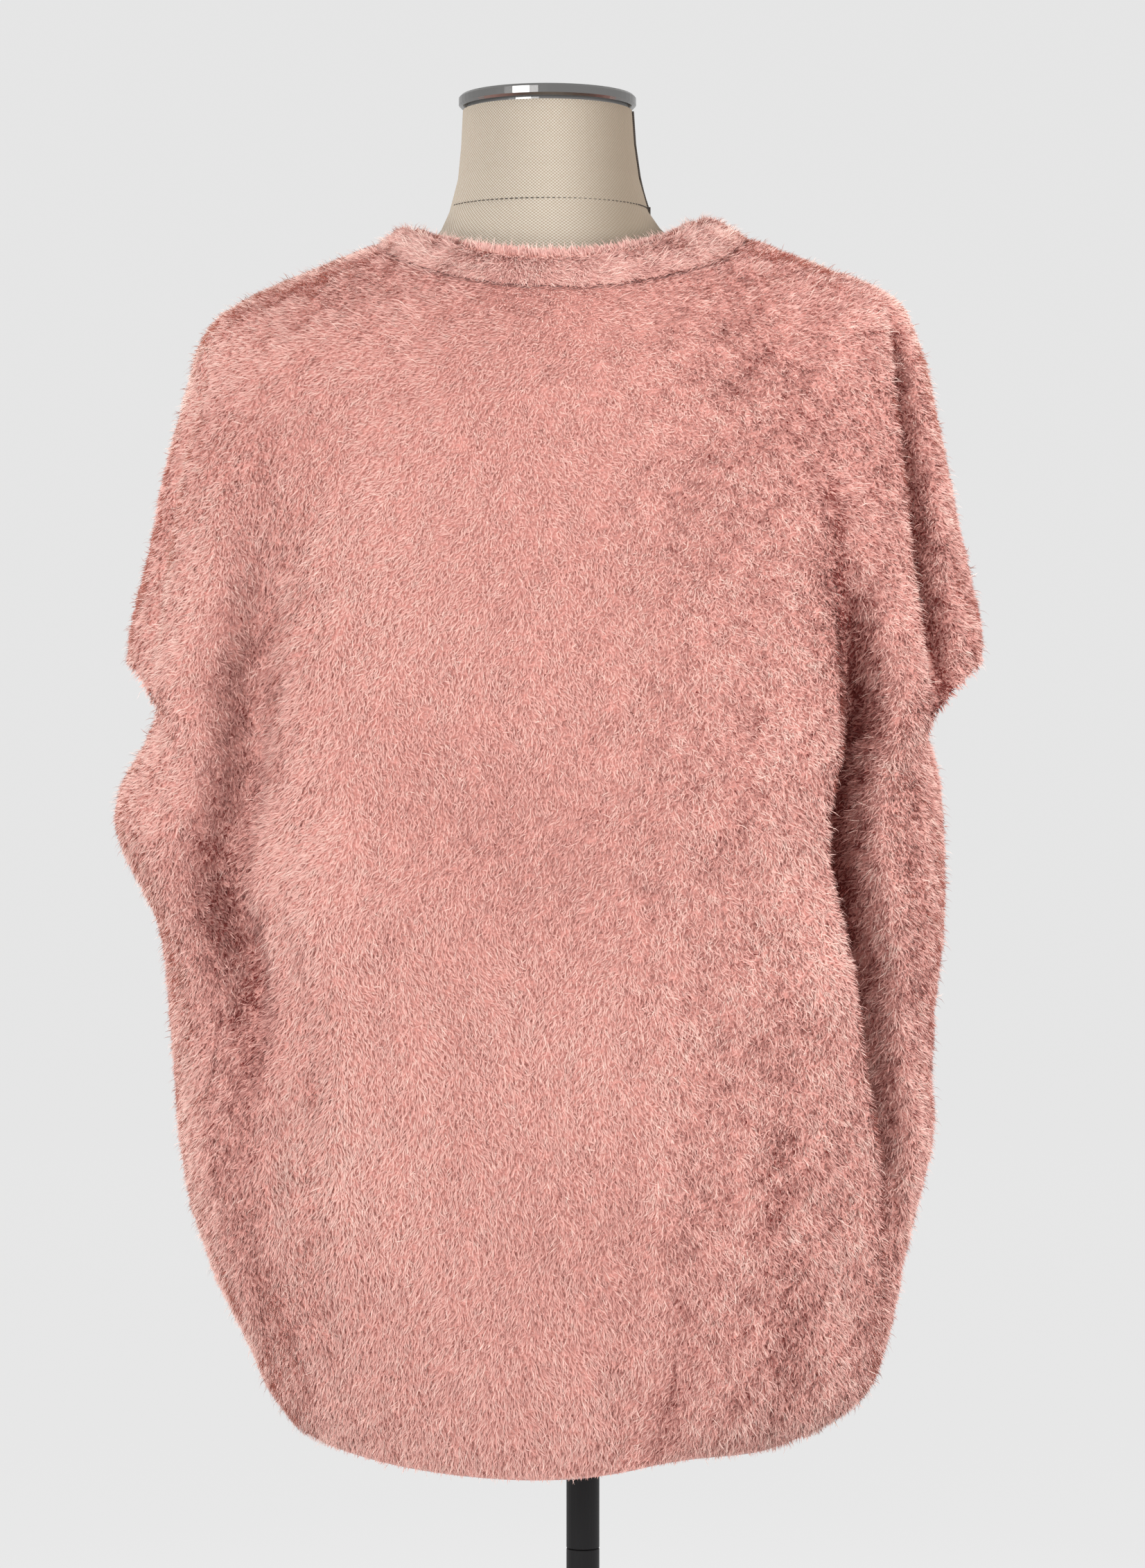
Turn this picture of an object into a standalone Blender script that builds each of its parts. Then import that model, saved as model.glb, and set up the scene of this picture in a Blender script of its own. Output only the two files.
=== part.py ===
"""A fluffy short-sleeved batwing pullover, worn by a limbless dress form on a pole stand.

Metres, +Z up. +Y is the wearer's front, +X the wearer's right side, and the base stands on z = 0.
The cloth is one smooth surface, given by rings from the neck edge down to the hem, and every cloth
piece is a wall cut from it. Lengths in the tables are millimetres.
"""

import collections
import math

import bmesh
import bpy
from mathutils import Vector

MM = 0.001

# Cloth: knit and the pile that stands out of it
WALL = 8.5
SEAM_GAP = 0.3

# Rings of the grid
NECK_EDGE_ROW = 0
NECK_SEAM_ROW = 2
CUFF_ROW = 12
HEM_ROW = 27
PANEL_COLUMNS = 52
NECKBAND_COLUMNS = 88
# How many columns a cuff opening takes from its side seam: the openings face forward
CUFF_COLUMNS = {
    ("back", "left"): 5,
    ("back", "right"): 7,
    ("front", "left"): 12,
    ("front", "right"): 12,
}

# The notch under each cuff, where the side of the body tucks in below the sleeve
UNDERARM_TUCK = 32.0
UNDERARM_ROWS = 0.8

# The hem rises a little at the right of the back
HEM_LIFT = 7.5
HEM_LIFT_TURN = 294.0
HEM_LIFT_SPREAD = 17.0
HEM_LIFT_FIRST_ROW = 24.0

# How a ring sags from its sides to its centre: 1 is even, more keeps the sides level for longer
SAG_POWER = 1.5

# How far apart the points are that a direction on the cloth is measured from
PLAIN_STEP = 0.05
FOLD_ROW_STEP = 0.3
FOLD_TURN_STEP = 1.2
EDGE_ROW_STEP = 0.2
EDGE_TURN_STEP = 2.0
WELD = 0.00001

# Colours of the plain materials
WOOL = (0.80, 0.42, 0.44)
LINEN = (0.52, 0.45, 0.36)
CHROME = (0.75, 0.76, 0.78)
BLACK = (0.02, 0.02, 0.022)

Ring = collections.namedtuple(
    "Ring", "row left_z right_z back_z front_z left right back front square"
)

# One ring for each height that matters: its height at the sides and at the centre back and front,
# where it reaches on each side, and how square it is (2 is an ellipse).
CLOTH_RINGS = [
    # row, left_z, right_z, back_z, front_z, left, right, back, front, square
    Ring(0, 1513.5, 1517.5, 1492, 1450, -100, 64, -84, 88, 2.0),
    Ring(1, 1514.5, 1520.5, 1483, 1442, -112, 79, -90, 94, 2.0),
    Ring(2, 1507, 1511, 1471, 1430, -126, 100, -95, 99, 2.0),
    Ring(3, 1491, 1492, 1455, 1415, -164, 147, -104, 107, 2.05),
    Ring(4, 1475, 1476, 1437, 1398, -200, 186, -112, 116, 2.1),
    Ring(5, 1458, 1460, 1412, 1376, -228, 202, -120, 126, 2.2),
    Ring(7, 1412, 1412, 1355, 1330, -247, 217, -132, 142, 2.3),
    Ring(10, 1321, 1322, 1250, 1245, -268, 235, -146, 160, 2.4),
    Ring(12, 1247, 1249, 1164, 1164, -281, 247, -152, 167, 2.4),
    Ring(13, 1229, 1231, 1135, 1135, -270, 229, -154, 169, 2.4),
    Ring(14, 1192, 1193, 1109, 1109, -279, 222, -155, 170, 2.4),
    Ring(15, 1149, 1149, 1083, 1083, -289, 223, -156, 171, 2.4),
    Ring(17, 1082, 1082, 1034, 1034, -262, 223, -158, 172, 2.4),
    Ring(19, 1015, 1015, 983, 983, -254, 216, -158, 172, 2.4),
    Ring(21, 948, 948, 930, 930, -249, 215, -157, 170, 2.4),
    Ring(23, 884, 884, 871, 871, -234, 201, -153, 165, 2.4),
    Ring(25, 826, 826, 811, 811, -208, 188, -147, 158, 2.3),
    Ring(26, 797, 797, 780, 780, -195, 177, -142, 151, 2.2),
    Ring(27, 771, 779, 752, 752, -175, 149, -132, 140, 2.1),
]

Fold = collections.namedtuple(
    "Fold", "panel side top_row bottom_row top_angle mid_angle bottom_angle depth width"
)

# Troughs in the cloth. Angles are degrees round the ring from the side seam to the panel's centre.
FOLDS = [
    # panel, side, top_row, bottom_row, top_angle, mid_angle, bottom_angle, depth, width
    Fold("back", "left", 4.5, 13.0, 22, 19, 17, 15, 5.0),
    Fold("back", "left", 7.5, 19.5, 50, 47, 42, 33, 6.0),
    Fold("back", "left", 11.5, 25.0, 61, 59, 52, 8, 4.5),
    Fold("back", "right", 4.0, 13.0, 32, 28, 25, 19, 5.5),
    Fold("back", "right", 8.0, 24.5, 56, 49, 26, 42, 4.8),
    Fold("front", "left", 5.0, 13.0, 24, 22, 20, 12, 5.5),
    Fold("front", "left", 8.5, 22.0, 52, 49, 44, 22, 7.0),
    Fold("front", "right", 5.0, 13.0, 26, 24, 22, 12, 5.5),
    Fold("front", "right", 8.5, 23.0, 54, 50, 44, 22, 7.0),
]
FOLD_FADE = 0.3

# The dress form: rings of its own, and the stretch of shoulder that takes its shape from the cloth.
FORM_TOP_RINGS = [
    # row, left_z, right_z, back_z, front_z, left, right, back, front, square
    Ring(0, 1587.5, 1587.5, 1587.5, 1587.5, -74.5, 30.5, -52, 52, 2.0),
    Ring(1, 1566, 1566, 1566, 1566, -75.5, 32, -53, 53, 2.0),
    Ring(2, 1545, 1545, 1546, 1542, -77.5, 35, -55, 55, 2.0),
    Ring(3, 1524, 1524, 1526, 1510, -83, 41, -59, 60, 2.0),
    Ring(4, 1513, 1514, 1514, 1490, -88, 48, -63, 63, 2.0),
    Ring(5, 1502, 1503.5, 1496, 1463, -97, 59, -69, 69, 2.0),
]
FORM_SHOULDER_ROWS = [2.0, 2.5, 3.0, 3.5, 4.0]
FORM_SEAT_GAP = 0.8
FORM_EASE = 6.0
FORM_BODY_RINGS = [
    # row, left_z, right_z, back_z, front_z, left, right, back, front, square
    Ring(0, 1452, 1452, 1404, 1376, -199, 182, -104, 109, 2.2),
    Ring(1, 1425, 1425, 1372, 1350, -195, 176, -107, 114, 2.3),
    Ring(2, 1385, 1385, 1340, 1325, -183, 163, -107, 118, 2.4),
    Ring(3, 1335, 1335, 1300, 1290, -172, 150, -105, 124, 2.4),
    Ring(4, 1270, 1270, 1250, 1245, -164, 144, -101, 127, 2.4),
    Ring(5, 1200, 1200, 1192, 1188, -148, 128, -93, 112, 2.3),
    Ring(6, 1140, 1140, 1138, 1136, -134, 116, -86, 96, 2.2),
    Ring(7, 1085, 1085, 1085, 1085, -128, 112, -83, 89, 2.2),
    Ring(8, 1020, 1020, 1020, 1020, -138, 126, -91, 93, 2.2),
    Ring(9, 950, 950, 950, 950, -156, 148, -105, 100, 2.2),
    Ring(10, 885, 885, 885, 885, -166, 162, -113, 104, 2.2),
    Ring(11, 845, 845, 845, 845, -164, 162, -111, 103, 2.2),
    Ring(12, 815, 815, 815, 815, -155, 155, -104, 98, 2.2),
]
FORM_COLUMNS = 56

# Neck cap, pole and base
NECK_CENTRE_X = -22.0
CAP_RADIUS = 55.0
CAP_RECESS_RADIUS = 50.0
CAP_BOTTOM = 1589.5
CAP_TOP = 1596.7
POLE_RADIUS = 10.25
POLE_JOINT_Z = 696.0
BASE_RADIUS = 165.0
BASE_THICKNESS = 12.0
BASE_EDGE = 3.0
SEAT_GAP = 0.3


def smooth_row(rings, row):
    """The ring at any row: each column follows a smooth curve through the table."""
    last = len(rings) - 1
    index = max(0, min(last - 1, sum(ring.row <= row for ring in rings) - 1))
    low, high = rings[index], rings[index + 1]
    before, after = rings[max(0, index - 1)], rings[min(last, index + 2)]
    span = high.row - low.row
    t = (row - low.row) / span
    values = [row]
    for a, b, c, d in list(zip(before, low, high, after))[1:]:
        start = (c - a) / (high.row - before.row) * span
        end = (d - b) / (after.row - low.row) * span
        values.append(
            (2 * t**3 - 3 * t**2 + 1) * b
            + (t**3 - 2 * t**2 + t) * start
            + (3 * t**2 - 2 * t**3) * c
            + (t**3 - t**2) * end
        )
    return Ring(*values)


def hem_lift(row, turn):
    """How far the cloth near the hem is raised here, in millimetres."""
    fade = max(0.0, row - HEM_LIFT_FIRST_ROW) / (HEM_ROW - HEM_LIFT_FIRST_ROW)
    return HEM_LIFT * fade * math.exp(-(((turn - HEM_LIFT_TURN) / HEM_LIFT_SPREAD) ** 2))


def ring_point(ring, turn):
    """A point of the ring in millimetres. turn is degrees: 180 left, 270 back, 360 right, 450 front."""
    across = math.cos(math.radians(turn))
    along = math.sin(math.radians(turn))
    centre = (ring.left + ring.right) / 2
    half = (ring.right - ring.left) / 2
    power = 2 / ring.square
    x = centre + half * math.copysign(abs(across) ** power, across)
    depth = ring.front if along > 0 else -ring.back
    y = depth * math.copysign(abs(along) ** power, along)
    side_z = ring.left_z + (ring.right_z - ring.left_z) * (across + 1) / 2
    centre_z = ring.front_z if along > 0 else ring.back_z
    z = side_z + (centre_z - side_z) * abs(along) ** SAG_POWER
    return Vector((x, y, z + hem_lift(ring.row, turn)))


def from_side(turn):
    """(panel, side, degrees from the side seam) of a place on the ring."""
    across = math.cos(math.radians(turn))
    along = math.sin(math.radians(turn))
    panel = "front" if along > 0 else "back"
    side = "left" if across < 0 else "right"
    return panel, side, math.degrees(math.atan2(abs(along), abs(across)))


def fold_depth(row, turn):
    """How far the folds push the cloth in here, in millimetres."""
    panel, side, angle = from_side(turn)
    total = 0.0
    for fold in FOLDS:
        if (fold.panel, fold.side) != (panel, side):
            continue
        t = (row - fold.top_row) / (fold.bottom_row - fold.top_row)
        if not 0 < t < 1:
            continue
        fade = min(1.0, t / FOLD_FADE, (1 - t) / FOLD_FADE)
        middle = (
            fold.top_angle * (1 - t) * (1 - 2 * t)
            + fold.mid_angle * 4 * t * (1 - t)
            + fold.bottom_angle * t * (2 * t - 1)
        )
        shape = math.exp(-(((angle - middle) / fold.width) ** 2))
        total += fold.depth * fade * fade * (3 - 2 * fade) * shape
    return total


def cuff_angle(turn):
    """How far a cuff opening reaches from its side seam on this side of it, in degrees."""
    return CUFF_COLUMNS[from_side(turn)[:2]] * 180 / PANEL_COLUMNS


def underarm_depth(row, turn):
    """How far the side of the body tucks in below the cuff, in millimetres."""
    first = CUFF_ROW + 1
    angle = from_side(turn)[2]
    if row < first or angle > cuff_angle(turn):
        return 0.0
    window = math.cos(math.pi / 2 * angle / cuff_angle(turn)) ** 2
    return UNDERARM_TUCK * window * math.exp(-(((row - first) / UNDERARM_ROWS) ** 2))


def plain_normal(row, turn):
    """The outward direction of the cloth without its folds."""
    up = max(NECK_EDGE_ROW, row - PLAIN_STEP)
    down = min(HEM_ROW, row + PLAIN_STEP)
    along = ring_point(smooth_row(CLOTH_RINGS, down), turn) - ring_point(
        smooth_row(CLOTH_RINGS, up), turn
    )
    ring = smooth_row(CLOTH_RINGS, row)
    around = ring_point(ring, turn + PLAIN_STEP) - ring_point(ring, turn - PLAIN_STEP)
    return around.cross(along).normalized() * -1


def cloth_point(row, turn):
    """A point of the cloth's outer face, with its folds."""
    depth = fold_depth(row, turn) + underarm_depth(row, turn)
    return ring_point(smooth_row(CLOTH_RINGS, row), turn) - plain_normal(row, turn) * depth


def cloth_normal(row, turn, first_row, last_row):
    """The outward direction of the folded cloth, measured inside the rows given."""
    up = max(first_row, row - FOLD_ROW_STEP)
    down = min(last_row, row + FOLD_ROW_STEP)
    along = cloth_point(down, turn) - cloth_point(up, turn)
    around = cloth_point(row, turn + FOLD_TURN_STEP) - cloth_point(row, turn - FOLD_TURN_STEP)
    return around.cross(along).normalized() * -1


def normal_for(row, turn):
    """The cloth's normal, kept from reaching across the gap of a cuff."""
    in_cuff = from_side(turn)[2] <= cuff_angle(turn)
    if in_cuff and row <= CUFF_ROW:
        return cloth_normal(row, turn, NECK_EDGE_ROW, CUFF_ROW)
    if in_cuff:
        return cloth_normal(row, turn, CUFF_ROW + 1, HEM_ROW)
    return cloth_normal(row, turn, NECK_EDGE_ROW, HEM_ROW)


def material(name, colour, roughness, metallic=0.0):
    made = bpy.data.materials.new(name)
    made.use_nodes = True
    shader = made.node_tree.nodes["Principled BSDF"]
    shader.inputs["Base Color"].default_value = (*colour, 1.0)
    shader.inputs["Roughness"].default_value = roughness
    shader.inputs["Metallic"].default_value = metallic
    return made


def finish(name, bm, surface, collection):
    """Makes the object of a bmesh that is already in metres."""
    mesh = bpy.data.meshes.new(name)
    bmesh.ops.recalc_face_normals(bm, faces=bm.faces)
    bm.to_mesh(mesh)
    bm.free()
    mesh.materials.append(surface)
    made = bpy.data.objects.new(name, mesh)
    collection.objects.link(made)
    return made


def thicken(bm, inward):
    """Turns the open sheet into a closed wall: the layer holds each point's way to the inner face."""
    made = bmesh.ops.extrude_face_region(bm, geom=bm.faces[:], use_keep_orig=True)
    for item in made["geom"]:
        if isinstance(item, bmesh.types.BMVert):
            item.co += item[inward]


def cloth_sheet(columns, first_row, last_row, first_turn, last_turn, end_shift, row_shifts):
    """A grid on the cloth's outer face, pulled back at its ends by the shifts, in millimetres."""
    bm = bmesh.new()
    rows = last_row - first_row
    bmesh.ops.create_grid(bm, x_segments=columns, y_segments=rows, size=0.5)
    inward = bm.verts.layers.float_vector.new("inward")
    span = last_turn - first_turn
    holes = []
    for face in bm.faces:
        centre = face.calc_center_median()
        row = first_row + (0.5 - centre.y) * rows
        turn = first_turn + (centre.x + 0.5) * span
        if CUFF_ROW < row < CUFF_ROW + 1 and from_side(turn)[2] < cuff_angle(turn):
            holes.append(face)
    for vert in bm.verts:
        row = first_row + round((0.5 - vert.co.y) * rows)
        column = round((vert.co.x + 0.5) * columns)
        turn = first_turn + span * column / columns
        normal = normal_for(row, turn)
        point = cloth_point(row, turn)
        if end_shift and column in (0, columns):
            toward = 1 if column == 0 else -1
            around = cloth_point(row, turn + EDGE_TURN_STEP * toward) - point
            around -= normal * around.dot(normal)
            point += around.normalized() * end_shift
        shift = row_shifts.get(row, 0.0)
        if shift:
            along = cloth_point(row + math.copysign(EDGE_ROW_STEP, shift), turn) - point
            along -= normal * along.dot(normal)
            point += along.normalized() * abs(shift)
        vert.co = point * MM
        vert[inward] = normal * -WALL * MM
    bmesh.ops.delete(bm, geom=holes, context="FACES")
    # A sheet that goes all the way round meets itself, and is welded there.
    bmesh.ops.remove_doubles(bm, verts=bm.verts, dist=WELD)
    thicken(bm, inward)
    return bm


def panel(name, first_turn, last_turn, surface, collection):
    """Back or front, with the two sleeves cut in one with it."""
    bm = cloth_sheet(
        PANEL_COLUMNS,
        NECK_SEAM_ROW,
        HEM_ROW,
        first_turn,
        last_turn,
        SEAM_GAP / 2,
        {NECK_SEAM_ROW: SEAM_GAP / 2},
    )
    return finish(name, bm, surface, collection)


def neckband(name, surface, collection):
    bm = cloth_sheet(
        NECKBAND_COLUMNS,
        NECK_EDGE_ROW,
        NECK_SEAM_ROW,
        180.0,
        540.0,
        0.0,
        {NECK_SEAM_ROW: -SEAM_GAP / 2},
    )
    return finish(name, bm, surface, collection)


def form_rings():
    """Every ring of the dress form from the neck down, each a list of points in millimetres."""
    turns = [180.0 + 360.0 * step / FORM_COLUMNS for step in range(FORM_COLUMNS)]
    rings = [[ring_point(ring, turn) for turn in turns] for ring in FORM_TOP_RINGS]
    for row in FORM_SHOULDER_ROWS:
        points = []
        for turn in turns:
            ease = FORM_EASE * math.sin(math.radians(turn)) ** 2
            inside = WALL + FORM_SEAT_GAP + ease
            points.append(cloth_point(row, turn) - plain_normal(row, turn) * inside)
        rings.append(points)
    rings += [[ring_point(ring, turn) for turn in turns] for ring in FORM_BODY_RINGS]
    return rings


def dress_form(name, surface, collection):
    bm = bmesh.new()
    loops = []
    for ring in form_rings():
        loops.append([bm.verts.new(point * MM) for point in ring])
    for upper, lower in zip(loops, loops[1:]):
        for index in range(FORM_COLUMNS):
            after = (index + 1) % FORM_COLUMNS
            bm.faces.new((upper[index], upper[after], lower[after], lower[index]))
    bm.faces.new(loops[0])
    bm.faces.new(loops[-1])
    return finish(name, bm, surface, collection)


def turned(name, profile, x, surface, collection, steps=64):
    """A profile of (radius, height) in millimetres, turned about an upright axis at x."""
    mesh = bpy.data.meshes.new(name)
    points = [(radius * MM, 0.0, height * MM) for radius, height in profile]
    edges = [(index, index + 1) for index in range(len(points) - 1)]
    mesh.from_pydata(points, edges, [])
    mesh.materials.append(surface)
    made = bpy.data.objects.new(name, mesh)
    made.location.x = x * MM
    screw = made.modifiers.new("Turn", "SCREW")
    screw.steps = steps
    screw.render_steps = steps
    screw.use_merge_vertices = True
    screw.merge_threshold = 0.0001
    screw.use_normal_calculate = True
    collection.objects.link(made)
    return made


def neck_cap(surface, collection):
    edge = 1.5
    profile = [
        (0.0, FORM_TOP_RINGS[0].left_z + SEAT_GAP),
        (CAP_RECESS_RADIUS, FORM_TOP_RINGS[0].left_z + SEAT_GAP),
        (CAP_RECESS_RADIUS, CAP_BOTTOM),
        (CAP_RADIUS - edge, CAP_BOTTOM),
        (CAP_RADIUS, CAP_BOTTOM + edge),
        (CAP_RADIUS, CAP_TOP - edge),
        (CAP_RADIUS - edge, CAP_TOP),
        (0.0, CAP_TOP),
    ]
    return turned("neck_cap", profile, NECK_CENTRE_X, surface, collection)


def pole(name, bottom, top, surface, collection):
    edge = 0.4
    profile = [
        (0.0, bottom),
        (POLE_RADIUS - edge, bottom),
        (POLE_RADIUS, bottom + edge),
        (POLE_RADIUS, top - edge),
        (POLE_RADIUS - edge, top),
        (0.0, top),
    ]
    return turned(name, profile, 0.0, surface, collection, 32)


def base(surface, collection):
    profile = [
        (0.0, 0.0),
        (BASE_RADIUS, 0.0),
        (BASE_RADIUS, BASE_THICKNESS - BASE_EDGE),
        (BASE_RADIUS - BASE_EDGE, BASE_THICKNESS),
        (0.0, BASE_THICKNESS),
    ]
    return turned("stand_base", profile, 0.0, surface, collection, 96)


def main():
    for obj in list(bpy.data.objects):
        bpy.data.objects.remove(obj, do_unlink=True)
    parts = bpy.data.collections.new("pullover_on_dress_form")
    bpy.context.scene.collection.children.link(parts)

    panel("back_panel", 180.0, 360.0, material("back wool", WOOL, 0.9), parts)
    panel("front_panel", 360.0, 540.0, material("front wool", WOOL, 0.9), parts)
    neckband("neckband", material("neckband wool", WOOL, 0.9), parts)
    dress_form("dress_form", material("linen", LINEN, 0.85), parts)
    neck_cap(material("chrome", CHROME, 0.12, 1.0), parts)

    top = FORM_BODY_RINGS[-1].left_z - SEAT_GAP
    joint = POLE_JOINT_Z
    pole("pole_upper", joint + SEAT_GAP, top, material("upper pole black", BLACK, 0.35), parts)
    foot = BASE_THICKNESS + SEAT_GAP
    pole("pole_lower", foot, joint, material("lower pole black", BLACK, 0.35), parts)
    base(material("base black", BLACK, 0.45), parts)


main()
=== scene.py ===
"""Looks for a fluffy short-sleeved batwing pullover on a limbless dress form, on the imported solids.

Metres, +Z up. +Y is the wearer's front, so the camera looks at the back. The cloth's rings are
those of the solids, in millimetres. Its troughs are the solids' too, moved to lie just where the
photograph has them. The knit and its pile replace the solids' thick wall.
"""

import collections
import math

import bmesh
import bpy
import numpy as np
from bpy.props import FloatProperty, FloatVectorProperty, IntProperty, PointerProperty
from mathutils import Matrix, Vector


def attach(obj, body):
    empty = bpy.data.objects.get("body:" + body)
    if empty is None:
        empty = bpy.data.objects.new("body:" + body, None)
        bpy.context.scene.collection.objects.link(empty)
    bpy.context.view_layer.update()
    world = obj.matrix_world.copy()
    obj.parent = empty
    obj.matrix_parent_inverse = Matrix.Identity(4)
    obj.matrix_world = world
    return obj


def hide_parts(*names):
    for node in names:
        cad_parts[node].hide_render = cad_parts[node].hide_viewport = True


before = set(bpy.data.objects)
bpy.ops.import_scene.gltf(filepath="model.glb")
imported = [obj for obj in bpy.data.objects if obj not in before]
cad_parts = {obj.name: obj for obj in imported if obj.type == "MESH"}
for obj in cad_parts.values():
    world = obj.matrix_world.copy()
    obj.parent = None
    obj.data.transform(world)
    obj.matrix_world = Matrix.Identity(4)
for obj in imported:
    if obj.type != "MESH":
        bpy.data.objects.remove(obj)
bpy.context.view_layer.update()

bl_info = {
    "name": "Fluffy pullover on a dress form",
    "version": (1, 0, 0),
    "blender": (4, 5, 0),
    "location": "3D View > Sidebar > Pullover",
    "description": "Knit, pile, linen and stand finishes for a pullover on a dress form",
    "category": "Object",
}

MM = 0.001
FORM_CENTRE_X = -0.022
BODY = "root"

# The photograph's height in pixels, a pixel's size at the form, and where the camera stands
PHOTO_HEIGHT = 2263
PIXEL_SIZE = 0.00043
CAMERA_PLACE = (-0.00645, -2.75, 1.170)
SENSOR_WIDTH = 36.0

# The paper sweep: a round floor that curves up into a wall, wide enough for every view's camera
FLOOR_RADIUS = 11.0
SWEEP_CURVE = 3.0
SWEEP_TOP = 14.0
# How much of the paper's colour the lamps light, beside its own glow
PAPER_SHARE = 0.15

# Rings of the cloth
NECK_EDGE_ROW = 0
NECK_SEAM_ROW = 2
CUFF_ROW = 12
HEM_ROW = 27
PANEL_COLUMNS = 52
# How many columns a cuff opening takes from its side seam, by (on the front, on the left)
CUFF_COLUMNS = {(False, True): 5, (False, False): 7, (True, True): 12, (True, False): 12}
# The notch under each cuff, and the lift of the hem at the right of the back
UNDERARM_TUCK = 32.0
UNDERARM_ROWS = 0.8
HEM_LIFT = 7.5
HEM_LIFT_TURN = 294.0
HEM_LIFT_SPREAD = 17.0
HEM_LIFT_FIRST_ROW = 24.0
# How a ring sags from its sides to its centre
SAG_POWER = 1.5

# row, left_z, right_z, back_z, front_z, left, right, back, front, square
CLOTH_RINGS = [
    (0, 1513.5, 1517.5, 1492, 1450, -100, 64, -84, 88, 2.0),
    (1, 1514.5, 1520.5, 1483, 1442, -112, 79, -90, 94, 2.0),
    (2, 1507, 1511, 1471, 1430, -126, 100, -95, 99, 2.0),
    (3, 1491, 1492, 1455, 1415, -164, 147, -104, 107, 2.05),
    (4, 1475, 1476, 1437, 1398, -200, 186, -112, 116, 2.1),
    (5, 1458, 1460, 1412, 1376, -228, 202, -120, 126, 2.2),
    (7, 1412, 1412, 1355, 1330, -247, 217, -132, 142, 2.3),
    (10, 1321, 1322, 1250, 1245, -268, 235, -146, 160, 2.4),
    (12, 1247, 1249, 1164, 1164, -281, 247, -152, 167, 2.4),
    (13, 1229, 1231, 1135, 1135, -270, 229, -154, 169, 2.4),
    (14, 1192, 1193, 1109, 1109, -279, 222, -155, 170, 2.4),
    (15, 1149, 1149, 1083, 1083, -289, 223, -156, 171, 2.4),
    (17, 1082, 1082, 1034, 1034, -262, 223, -158, 172, 2.4),
    (19, 1015, 1015, 983, 983, -254, 216, -158, 172, 2.4),
    (21, 948, 948, 930, 930, -249, 215, -157, 170, 2.4),
    (23, 884, 884, 871, 871, -234, 201, -153, 165, 2.4),
    (25, 826, 826, 811, 811, -208, 188, -147, 158, 2.3),
    (26, 797, 797, 780, 780, -195, 177, -142, 151, 2.2),
    (27, 771, 779, 752, 752, -175, 149, -132, 140, 2.1),
]

Fold = collections.namedtuple(
    "Fold", "panel side top_row bottom_row top_angle mid_angle bottom_angle depth width"
)

# The main troughs. Angles are degrees round the ring from the side seam to the panel's centre, and
# depths are millimetres.
FOLDS = [
    Fold("back", "left", 4.5, 13.0, 14, 16, 24, 6, 4.2),
    Fold("back", "left", 7.3, 20.0, 49, 45, 41, 24, 7.5),
    Fold("back", "left", 11.5, 25.0, 56, 54, 45, 8, 5.0),
    Fold("back", "right", 4.0, 13.0, 14, 25, 28, 18, 4.2),
    Fold("back", "right", 8.0, 24.5, 49, 39.5, 14, 34, 4.0),
    Fold("front", "left", 5.0, 13.0, 24, 22, 20, 12, 5.5),
    Fold("front", "left", 8.5, 22.0, 52, 49, 44, 22, 7.0),
    Fold("front", "right", 5.0, 13.0, 26, 24, 22, 12, 5.5),
    Fold("front", "right", 8.5, 23.0, 54, 50, 44, 22, 7.0),
]
# The share of a fold's length over which each of its ends fades out
FOLD_FADE = 0.3
# How deep the seam of the neckband lies, and how many rows wide it is
NECK_SEAM_DIP = 1.0
NECK_SEAM_WIDTH = 0.13

# Smaller creases that only the looks carry. A negative depth is a ridge.
CREASES = [
    Fold("back", "left", 7.0, 21.5, 44, 40, 37, 4, 9.0),
    Fold("back", "right", 8.3, 24.8, 49, 39.5, 14, 9, 2.2),
    Fold("back", "left", 4.6, 12.98, 12, 14.5, 23, 1.2, 2.0),
    Fold("back", "right", 3.6, 12.98, 12, 24, 27, 8, 2.0),
    Fold("back", "left", 11.0, 24.0, 64, 63, 56, -3.5, 4.5),
    Fold("back", "left", 18.0, 26.5, 40, 36, 28, 4.0, 6.0),
    Fold("back", "left", 15.0, 22.0, 80, 78, 74, 2.5, 4.0),
    Fold("back", "right", 14.0, 25.5, 72, 70, 62, 3.0, 4.5),
    Fold("back", "right", 18.5, 26.5, 84, 82, 78, 2.5, 4.0),
    Fold("back", "right", 19.0, 26.0, 44, 40, 34, 3.5, 5.0),
    Fold("back", "right", 24.5, 26.9, 82, 80, 77, 5.0, 4.0),
    Fold("front", "left", 14.0, 25.0, 68, 64, 56, 3.5, 5.0),
    Fold("front", "left", 18.0, 26.5, 82, 80, 76, 2.5, 4.5),
    Fold("front", "right", 13.0, 24.0, 70, 67, 60, 3.5, 5.0),
    Fold("front", "right", 19.0, 26.5, 40, 36, 30, 3.5, 5.5),
    Fold("front", "right", 17.0, 26.0, 86, 84, 80, 2.5, 4.0),
]

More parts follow.
